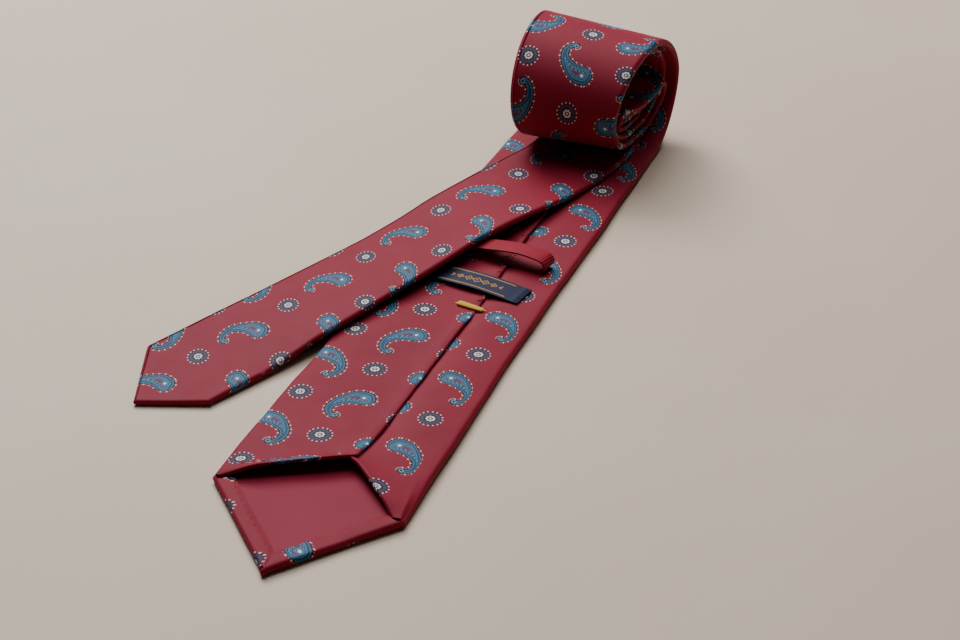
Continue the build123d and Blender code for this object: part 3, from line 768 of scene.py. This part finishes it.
def medallion(paint, x, y, colour):
    """A small round ornament of beads and petals, laid on a colour."""
    reach, turn = hypot(x, y), y.op("ARCTAN2", x)

    def ring(radius, count, size):
        step = TURN * radius / count
        at = (turn * (count / TURN)).op("FRACT")
        return hypot((at - 0.5) * step, reach - radius).below(size, 0.25)

    petal = (turn * 16.0).op("COSINE") * 0.5 + 0.5
    return paint.layers(
        colour, (PLUM, (reach - petal * 0.5).below(4.85, 0.3) * 0.92), (CREAM, ring(5.15, 16, 0.42) * 0.95),
        (MAUVE, petal * reach.below(4.4) * (1 - reach.below(2.5)) * 0.6),
        (SLATE, abs(reach - 3.5).below(0.22, 0.2) * 0.6), (NAVY, abs(reach - 2.45).below(0.25, 0.2) * 0.8),
        (WHITE, ring(1.55, 8, 0.56) * 0.95), (OLIVE, reach.below(1.05, 0.2)),
        (WHITE, reach.below(0.5, 0.2) * 0.95))


def printed_silk():
    paint = Paint("printed_silk", 0.5, Specular_IOR_Level=0.08, Sheen_Weight=0.02, Sheen_Roughness=0.4,
                  Sheen_Tint=(1.0, 0.62, 0.68, 1))
    c, s = paint.uv("Cloth")
    column, row = paint.uv("Cell")
    across, along = paint.uv("Pitch")
    rib = twill(paint, c, s)
    shade = paint.noise(c, s, scale=0.03) * 0.7 + paint.noise(c, s, scale=1.6) * 0.3
    light = (rib * 0.45 + shade * 0.6 - 0.05).op("MULTIPLY", 1.0, clamp=True)
    ground = paint.mix(BURGUNDY_DARK, BURGUNDY_LIGHT, light)
    # The edge of a printed motif is never quite even.
    wobble = (paint.noise(c, s, scale=0.9) - 0.5) * 0.35
    total, gap = (column + row) * 0.5, (column - row) * 0.5

    def local(p, q):
        i, j = p + q, p - q
        return (column - i) * across + wobble, (row - j) * along + wobble, i

    x, y, _ = local(total.op("ROUND"), gap.op("ROUND"))
    colour = medallion(paint, x, y, ground)
    x, y, i = local(total.op("FLOOR") + 0.5, gap.op("FLOOR") + 0.5)
    odd = (i * 0.5).op("FRACT").op("GREATER_THAN", 0.25)
    x = x + (2.0 - y * 0.12 - x * 2.0) * odd    # every other column is mirrored, and leans a little
    colour = paisley(paint, x, y, colour)
    # Near-black mixed into the valleys between the twill's ribs is painted shade.
    valley_shaded = paint.mix(colour, rgb(20, 8, 14), (1 - rib) * 0.16)
    gloss = 0.42 + paint.noise(c, s, scale=0.12) * 0.12 + (1 - rib) * 0.08
    return paint.finish(valley_shaded, rib, 0.05, gloss)


PRINTED_SILK = printed_silk()


def plain_silk(name, light, dark, pitch, depth, contrast, sheen):
    """Unprinted silk: the keeper's twill, or the smoother cloth that lines a tip."""
    paint = Paint(name, 0.5, Specular_IOR_Level=0.06, Sheen_Weight=sheen, Sheen_Roughness=0.4,
                  Sheen_Tint=(1.0, 0.74, 0.78, 1))
    c, s = paint.uv("Cloth")
    rib = twill(paint, c, s, pitch)
    shade = paint.noise(c, s, scale=0.04) * 0.7 + paint.noise(c, s, scale=1.9) * 0.3
    share = (rib * contrast + shade * 0.5 + 0.25 - contrast / 2).op("ADD", 0.0, clamp=True)
    colour = paint.mix(dark, light, share)
    creases = paint.noise(c * 0.35, s, scale=0.09, detail=3.0)
    return paint.finish(colour, rib * 0.5 + creases * 2.0, depth)


def wool():
    """Brushed wool that stiffens the tie inside its silk."""
    paint = Paint("wool_interlining", 0.9, Sheen_Weight=0.3, Sheen_Roughness=0.6)
    x, y, z = paint.place()
    nap = paint.noise(x, y, z, scale=1.4, detail=4.0)
    threads = (x * (TURN / 0.9)).op("SINE") * (y * (TURN / 0.9)).op("SINE") * 0.5 + 0.5
    colour = paint.mix(rgb(178, 168, 150), rgb(226, 219, 203), nap * 0.7 + threads * 0.3)
    return paint.finish(colour, nap * 0.6 + threads * 0.4, 0.25)


def thread(name, light, dark, roughness=0.42, sheen=0.15):
    """Twisted sewing thread."""
    paint = Paint(name, roughness, Specular_IOR_Level=0.5, Sheen_Weight=sheen, Sheen_Tint=(*light, 1))
    x, y, z = paint.place()
    ply = ((x + y * 0.8 + z * 1.3) * (TURN / 0.42)).op("SINE") * 0.5 + 0.5
    fuzz = paint.noise(x, y, z, scale=3.0)
    colour = paint.mix(dark, light, ply * 0.6 + fuzz * 0.4)
    return paint.finish(colour, ply, 0.06)


def label_satin():
    """Navy satin ribbon with a generic woven edging and a row of lozenges in gold thread."""
    paint = Paint("label_satin", 0.5, Specular_IOR_Level=0.1, Sheen_Weight=0.02,
                  Sheen_Tint=(0.7, 0.8, 1.0, 1))
    x, y = paint.uv("Cloth")
    warp = (x * (TURN / 0.45)).op("SINE") * 0.5 + 0.5
    weft = (y * (TURN / 0.38)).op("SINE") * 0.5 + 0.5
    shade = paint.noise(x, y, scale=0.12) * 0.5 + paint.noise(x, y, scale=2.4) * 0.5
    ground = paint.mix(rgb(12, 16, 40), rgb(36, 44, 84), weft * 0.25 + warp * 0.2 + shade * 0.45)
    rail = abs(abs(y) - 5.4).below(0.28, 0.15)
    inside = abs(x).below(17.5, 0.2)
    step = 4.4
    at = (x / step + 0.5).op("FRACT") - 0.5
    cell = abs((x / step + 0.5).op("FLOOR"))
    size = 2.0 - cell * 0.28
    lozenge = abs(at) * step * 0.9 + abs(y)
    outline = abs(lozenge - size).below(0.3, 0.15)
    heart = lozenge.below(0.55, 0.15)
    ends = abs(x).below(13.3, 0.2)
    gold = rail.op("MAXIMUM", outline.op("MAXIMUM", heart) * ends) * inside
    broken = 0.75 + warp * 0.25
    colour = paint.mix(ground, rgb(206, 150, 66), gold * broken)
    return paint.finish(colour, warp * 0.3 + weft * 0.4 + gold * 0.9, 0.06)


KEEPER_SILK = plain_silk("keeper_silk", rgb(190, 36, 62), rgb(90, 10, 28), 1.25, 0.16, 0.85, 0.04)
TIPPING_SILK = plain_silk("tipping_silk", rgb(160, 40, 66), rgb(128, 24, 48), 0.5, 0.03, 0.25, 0.02)
WOOL = wool()
LABEL_SATIN = label_satin()
GOLD_THREAD = thread("gold_thread", rgb(255, 226, 84), rgb(255, 188, 40), 0.5, 0.5)
BURGUNDY_THREAD = thread("burgundy_thread", rgb(196, 64, 86), rgb(152, 38, 58))
NAVY_THREAD = thread("navy_thread", rgb(40, 48, 84), rgb(14, 18, 38))


# ---- Sheets inside the envelopes ----

def panel(name, run, rows, inset, height, end, columns):
    """A sheet between a strip's edges, pointed at its tip, at a height(a, s, share) through the strip."""
    verts, cloth = [], []
    tip, corners = end["tip"], end["corners"]
    for s in rows:
        left, right = run.part(run.left, s), run.part(run.right, s)
        left = tip_edge(tip, corners[-1], s) if s < corners[-1][1] else left
        right = tip_edge(tip, corners[1], s) if s < corners[1][1] else right
        left, right = left + inset, right - inset
        if left > right:
            left = right = (left + right) / 2
        for share in np.linspace(0, 1, columns):
            a = left + (right - left) * share
            verts.append((a, s, height(a, s, share)))
            cloth.append((a, s))
    a, s, h = np.array(verts).T
    return finish_mesh(name, run.point(a, s, h), grid_faces(len(rows), columns), cloth)


def thicken(obj, thick, bevel=0.0):
    """Give a sheet its real thickness, in mm, to both sides."""
    solid = obj.modifiers.new("thickness", "SOLIDIFY")
    solid.thickness, solid.offset = thick * MM, 0.0
    if bevel:
        soft = obj.modifiers.new("soft edge", "BEVEL")
        soft.width, soft.segments, soft.limit_method = bevel * MM, 2, "ANGLE"
    bpy.context.view_layer.update()
    mesh = bpy.data.meshes.new_from_object(obj.evaluated_get(bpy.context.evaluated_depsgraph_get()))
    obj.modifiers.clear()
    obj.data = mesh
    mesh.polygons.foreach_set("use_smooth", [True] * len(mesh.polygons))
    return obj


def wide_tipping_height(a, s, share):
    """The lining of the wide tip sags between the borders, and dips further under the flaps."""
    sag = 0.55 * math.sin(math.pi * share) ** 0.7 * smooth(-42, -20, s)
    thick = wide_run.part(wide_run.thick, s)
    return thick - 0.9 - sag - 0.9 * smooth(4, 26, s) + 0.12 * float(waves(a, s, 5, 26))


def tail_tipping_height(a, s, share):
    return tail_run.part(tail_run.thick, s) - 0.75 - 0.3 * math.sin(math.pi * share)


wide_tipping = panel("wide_tipping_sheet", wide_run, np.linspace(-45.4, 68, 58), 2.1,
                     wide_tipping_height, WIDE_END, 24)
tail_tipping = panel("tail_tipping_sheet", tail_run, np.linspace(2.8, 72, 36), 2.0,
                     tail_tipping_height, TAIL_END, 14)
wide_wool = panel("wide_interlining_sheet", wide_run, np.arange(-38, wide_run.s[-1], 6.0), 2.4,
                  lambda a, s, share: 0.8 + 1.0 * smooth(30, 60, s), WIDE_END, 8)
tail_wool = panel("tail_interlining_sheet", tail_run, np.arange(5, tail_run.s[-1], 5.0), 2.4,
                  lambda a, s, share: 1.25, TAIL_END, 7)
thicken(wide_wool, 0.9)
thicken(tail_wool, 0.8)


# ---- Trimmings on the back of the wide blade ----

TRIM_TILT = math.radians(-9)
BLADE_BACK = 4.0


def trim_point(place, x, across, z):
    """Plan place of a point on a trimming: x along it, across it towards the roll, z over the blade."""
    cos_t, sin_t = math.cos(TRIM_TILT), math.sin(TRIM_TILT)
    return place[0] + x * cos_t - across * sin_t, place[1] + x * sin_t + across * cos_t, BLADE_BACK + z


def smooth_line(points, count=150):
    """A line eased through points, as count evenly spaced places and how far along each is."""
    p = np.array(points, float)
    p = np.concatenate([2 * p[:1] - p[1:2], p, 2 * p[-1:] - p[-2:-1]])
    out = []
    for a, b, c, d in zip(p, p[1:], p[2:], p[3:]):
        for t in np.arange(0, 1, 0.04):
            bend = (2 * a - 5 * b + 4 * c - d) * t * t + (3 * b - a - 3 * c + d) * t**3
            out.append(0.5 * (2 * b + (c - a) * t + bend))
    out = np.array(out + [p[-2]])
    gone = sums(np.linalg.norm(np.diff(out, axis=0), axis=1))
    at = np.linspace(0, gone[-1], count)
    return np.stack([np.interp(at, gone, out[:, k]) for k in range(out.shape[1])], -1), at


def ribbon(name, place, line, width, thick, sag, start=0.0, edge_wave=0.0):
    """A flat band that follows a line of (x, z) in the trimmings' upright plane, with soft edges."""
    points, at = smooth_line(line)
    steps = np.linspace(-1, 1, 9)
    verts, cloth = [], []
    for k, (x, z) in enumerate(points):
        for t in steps:
            wave = edge_wave * math.sin(at[k] * 0.11 + 1.3) * t
            verts.append(trim_point(place, x, t * width / 2 + wave, z - sag * t * t))
            cloth.append((t * width / 2, at[k] + start))
    obj = finish_mesh(name, verts, grid_faces(len(points), len(steps)), cloth)
    return thicken(obj, thick, thick * 0.42)


KEEPER_PLACE, LABEL_PLACE = (-1.0, KEEPER_Y), (0.3, LABEL_Y)
KEEPER_WIDTH, LABEL_WIDTH = 10.0, 14.0
KEEPER_LINE = [
    (6.3, 0.95), (14, 0.9), (23.5, 1.0), (27.2, 2.1), (28.0, 4.3), (26.4, 6.5), (22.0, 7.5),
    (14.0, 7.9), (6.0, 7.1), (-6, 5.1), (-18, 2.9), (-27, 1.75), (-30.2, 1.25), (-28, 0.75), (-16, 0.72),
    (5.7, 0.72),
]
keeper = ribbon("keeper_loop_silk", KEEPER_PLACE, KEEPER_LINE, KEEPER_WIDTH, 0.8, sag=0.12, edge_wave=0.15)

LABEL_LINE = [
    (19.5, 0.5), (23.6, 0.5), (24.8, 0.72), (24.8, 1.05), (23.6, 1.25), (20, 1.35), (12, 2.0), (0, 2.45),
    (-12, 2.0), (-20, 1.35), (-23.6, 1.25), (-24.8, 1.05), (-24.8, 0.72), (-23.6, 0.5), (-19.5, 0.5),
]
label_start = -smooth_line(LABEL_LINE)[1][-1] / 2
label = ribbon("back_label_satin", LABEL_PLACE, LABEL_LINE, LABEL_WIDTH, 0.34, sag=0.1, start=label_start)
for loop in label.data.uv_layers["Cloth"].data:
    loop.uv = (-loop.uv[1], loop.uv[0])


def tube(name, lines, radius):
    """Threads as thin tubes, closed at their ends, along lines of plan places."""
    verts, faces, cloth, sides = [], [], [], 6
    for line in lines:
        line = np.asarray(line, float)
        tangent = np.gradient(line, axis=0)
        tangent /= np.maximum(np.linalg.norm(tangent, axis=1), 1e-9)[:, None]
        side = np.cross(tangent, (0.02, 0.03, 1.0))
        side /= np.linalg.norm(side, axis=1)[:, None]
        other = np.cross(tangent, side)
        first = len(verts)
        for k, centre in enumerate(line):
            size = radius * (0.35 if k in (0, len(line) - 1) else 1.0)
            for j in range(sides):
                turn = TURN * j / sides
                verts.append(centre + (side[k] * math.cos(turn) + other[k] * math.sin(turn)) * size)
                cloth.append((turn, k))
        for k in range(len(line) - 1):
            for j in range(sides):
                a, b = first + k * sides + j, first + k * sides + (j + 1) % sides
                faces.append((a, b, b + sides, a + sides))
        faces.append(tuple(range(first, first + sides))[::-1])
        faces.append(tuple(range(len(verts) - sides, len(verts))))
    return finish_mesh(name, verts, faces, cloth)


def wrapped_tack(name, centre, along, up, length, width, height, turns):
    """A bar tack: thread wound closely round a short bundle of itself."""
    along, up = np.array(along, float), np.array(up, float)
    across = np.cross(up, along)
    rng = np.random.RandomState(4)
    t = np.linspace(0, 1, turns * 14)
    turn = t * turns * TURN
    taper = (0.75 + 0.25 * np.sin(math.pi * np.clip(t * 1.04 - 0.02, 0, 1)) ** 0.4) * (1.1 - 0.3 * t)
    jitter = np.interp(t, np.linspace(0, 1, turns * 2), rng.uniform(-0.12, 0.12, turns * 2))
    x = (t - 0.5) * length + 0.12 * np.sin(turn)

    def line(x, y, z):
        return np.array(centre) + along * x[:, None] + up * z[:, None] + across * y[:, None]

    wound = line(x, np.cos(turn) * width / 2 * taper + jitter, (np.sin(turn) * 0.5 + 0.5) * height * taper)
    fade = np.linspace(0, 1, 6)
    reach = length / 2 + np.linspace(-0.5, 1.6, 6)
    ends = [line(side * reach, 0.3 * side * fade, height * 0.45 * fade[::-1]) for side in (-1, 1)]
    return tube(name, [wound, *ends], 0.4)


def stitch(centre, along, up, length, thick):
    """One short stitch that comes out of the cloth and goes back in."""
    t = np.linspace(-1, 1, 7)
    along, up = np.array(along, float), np.array(up, float)
    return np.array(centre) + along * (t * length / 2)[:, None] + up * ((1 - t**2) * thick - 0.12)[:, None]


class Ground:
    """The cloth's surface, looked up from above or along any direction, in plan mm."""

    def __init__(self, obj):
        mesh = obj.data
        self.tree = BVHTree.FromPolygons([v.co for v in mesh.vertices], [p.vertices for p in mesh.polygons])

    def hit(self, place, direction, reach=12.0):
        start = Vector(np.asarray(place, float) + ORIGIN) * MM - Vector(direction) * reach / 2 * MM
        spot = self.tree.ray_cast(start, Vector(direction), reach * MM)[0]
        return np.asarray(place, float) if spot is None else np.array(spot) / MM - ORIGIN


blade_cloth, tail_cloth = Ground(wide_silk), Ground(tail_silk)
trim_along = (math.cos(TRIM_TILT), math.sin(TRIM_TILT), 0)
UP, DOWN = (0, 0, 1), (0, 0, -1)

tack_at = blade_cloth.hit((5.0, TACK_Y, BLADE_BACK), DOWN)
wide_tack = wrapped_tack("wide_tack_thread", tack_at, trim_along, UP, 13.0, 3.2, 1.0, 17)

SLIP_STEP = 9.0
slips = []
for y in np.arange(166, 334, SLIP_STEP):
    if abs(y - LABEL_Y) > 9 and abs(y - KEEPER_Y) > 7:
        spot = blade_cloth.hit((read(BLADE_SEAM, y)[0] + 0.6, y, BLADE_BACK), DOWN)
        slips.append(stitch(spot, (0.9, 0.42, 0), UP, 2.2, 0.4))
wide_slips = tube("wide_slip_thread", slips, 0.17)

hems = []
for corner in WIDE_END["corners"].values():
    gone = np.array(corner) - WIDE_END["tip"]
    length = np.linalg.norm(gone)
    unit = gone / length
    inward = np.array([-unit[1], unit[0]]) * (1 if corner[0] > 0 else -1)
    for t in np.arange(11, length - 9, 4.5):
        spot = blade_cloth.hit((*(np.array(WIDE_END["tip"]) + unit * t + inward * 6.0), 3.0), DOWN)
        hems.append(stitch(spot, (*(inward * 0.8 + unit * 0.6), 0), UP, 1.5, 0.24))
wide_hems = tube("wide_hem_thread", hems, 0.11)


def stitch_rows(name, place, along, across, z, radius):
    """Short stitches over a trimming, at each of these places along it and across it."""
    spots = [trim_point(place, x, y, z) for x in along for y in across]
    return tube(name, [stitch(spot, trim_along, UP, 2.0, 0.3) for spot in spots], radius)


label_threads = stitch_rows("label_end_thread", LABEL_PLACE, (-23.2, 23.2),
                            np.arange(-5.6, 5.7, 1.6), 1.52, 0.16)
keeper_threads = stitch_rows("keeper_catch_thread", KEEPER_PLACE, (4.2, 7.8),
                             (-3.2, -1.1, 1.1, 3.2), 1.4, 0.17)


def tail_frame(s):
    return [tail_run.part(table, s) for table in (tail_run.origin, tail_run.across, tail_run.up)]


origin, across, up = tail_frame(78.0)
tail_under = tail_cloth.hit(origin + across * -2, tuple(up))
tail_tack = wrapped_tack("tail_tack_thread", tail_under, across, -up, 10.0, 1.6, 0.8, 15)
slips = []
for s in np.arange(86, 256, SLIP_STEP):
    origin, across, up = tail_frame(s)
    spot = tail_cloth.hit(origin + across * -2.4, tuple(up))
    slips.append(stitch(spot, across, -up, 2.2, 0.35))
tail_slips = tube("tail_slip_thread", slips, 0.16)


# ---- What each piece stands for and rides on ----

TIP_BEND, TAIL_BEND = 9, 12    # half lengths of the stretches about the tip and tail hinges


def bend(obj, body, middle, reach):
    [tuple((middle + sign * reach + ORIGIN) * MM) for sign in (-1, 1)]
    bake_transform(obj)


def bend_at_tip(obj):
    bend(obj, "wide_tip", np.array((0, TIP_HINGE_Y, BLADE_BACK)), np.array((0, TIP_BEND, 0)))


def bend_at_tail(obj):
    heading = math.radians(read(TAIL_HEADING, TAIL_HINGE_S)[0])
    reach = np.array((math.sin(heading), math.cos(heading), 0)) * TAIL_BEND
    bend(obj, "tail", tail_frame(TAIL_HINGE_S)[0], reach)


# Piece, material, slot, what it rides on or a function that bakes its place, and the CAD nodes that it stands
# for.
PIECES = [
    (wide_silk, PRINTED_SILK, "silk", bend_at_tip,
     "wide_tip_shell wide_blade_shell rolled_blade_shell neck_band_shell"),
    (tail_silk, PRINTED_SILK, "silk", bend_at_tail, "tail_shell tail_base_shell rolled_tail_shell"),
    (wide_wool, WOOL, "wool", bend_at_tip,
     "wide_tip_interlining wide_blade_interlining rolled_blade_interlining neck_band_interlining"),
    (tail_wool, WOOL, "wool", bend_at_tail, "tail_interlining tail_base_interlining rolled_tail_interlining"),
    (wide_tipping, TIPPING_SILK, "tipping", "wide_tip", "wide_tipping"),
    (tail_tipping, TIPPING_SILK, "tipping", "tail", "tail_tipping"),
    (keeper, KEEPER_SILK, "silk", "blade_and_roll", "keeper_loop"),
    (label, LABEL_SATIN, "label_satin", "blade_and_roll", "back_label"),
    (wide_tack, GOLD_THREAD, "gold_thread", "blade_and_roll", "wide_bar_tack"),
    (tail_tack, GOLD_THREAD, "gold_thread", "tail", "tail_bar_tack"),
    (wide_slips, BURGUNDY_THREAD, "burgundy_thread", "blade_and_roll", "wide_slip_stitches"),
    (wide_hems, BURGUNDY_THREAD, "burgundy_thread", "wide_tip", "wide_tip_hem_stitches"),
    (keeper_threads, BURGUNDY_THREAD, "burgundy_thread", "blade_and_roll", "keeper_loop_stitches"),
    (tail_slips, BURGUNDY_THREAD, "burgundy_thread", "tail", "tail_slip_stitches"),
    (label_threads, NAVY_THREAD, "navy_thread", "blade_and_roll", "label_end_stitches"),
]
for piece, material, slot, body, nodes in PIECES:
    piece.data.materials.append(material)
    if callable(body):
        body(piece)
    else:
        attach(piece, body)
    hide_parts(*nodes.split())


# ---- Floor, light and camera ----

def floor_material():
    paint = Paint("studio_floor", 0.55, Specular_IOR_Level=0.3)
    x, y, z = paint.place()
    cloud = paint.noise(x, y, scale=0.006, detail=3.0)
    grain = paint.noise(x, y, scale=0.5, detail=2.0)
    colour = paint.mix(rgb(206, 184, 160), rgb(221, 202, 180), cloud * 0.8 + grain * 0.2)
    return paint.finish(colour, grain, 0.05)


bpy.ops.mesh.primitive_grid_add(x_subdivisions=8, y_subdivisions=8, size=6.0, location=(0, 0, -0.0002))
floor = bpy.context.object
floor.name = "studio_floor"
floor.data.materials.append(floor_material())

world = bpy.data.worlds.new("studio")
bpy.context.scene.world = world
world.use_nodes = True
world.node_tree.nodes["Background"].inputs[0].default_value = (1.0, 0.95, 0.9, 1)
world.node_tree.nodes["Background"].inputs[1].default_value = 0.035


def area_light(name, place, target, size, power, colour):
    light = bpy.data.lights.new(name, "AREA")
    light.shape, light.size, light.energy, light.color = "SQUARE", size, power, colour
    obj = new_object(name, light)
    obj.location = place
    obj.rotation_euler = (Vector(target) - Vector(place)).to_track_quat("-Z", "Y").to_euler()


area_light("window", (-1.1, 1.2, 1.3), (0, 0, 0), 0.8, 27, (0.97, 0.985, 1.0))
area_light("overhead softbox", (-0.5, 1.0, 1.6), (0, 0.1, 0), 1.9, 46, (0.97, 0.98, 1.0))

camera = bpy.data.cameras.new("camera")
camera.lens, camera.sensor_width, camera.clip_start = 80.625, 36.0, 0.05
seer = new_object("camera", camera)
forward, upward = Vector((-0.31818, 0.79575, -0.51530)), Vector((-0.19132, 0.47847, 0.85701))
sideways = forward.cross(upward).normalized()
basis = Matrix((sideways, sideways.cross(forward).normalized(), -forward.normalized())).transposed()
seer.matrix_world = Matrix.Translation((0.35634, -0.78262, 0.50015)) @ basis.to_4x4()
bpy.context.scene.camera = seer
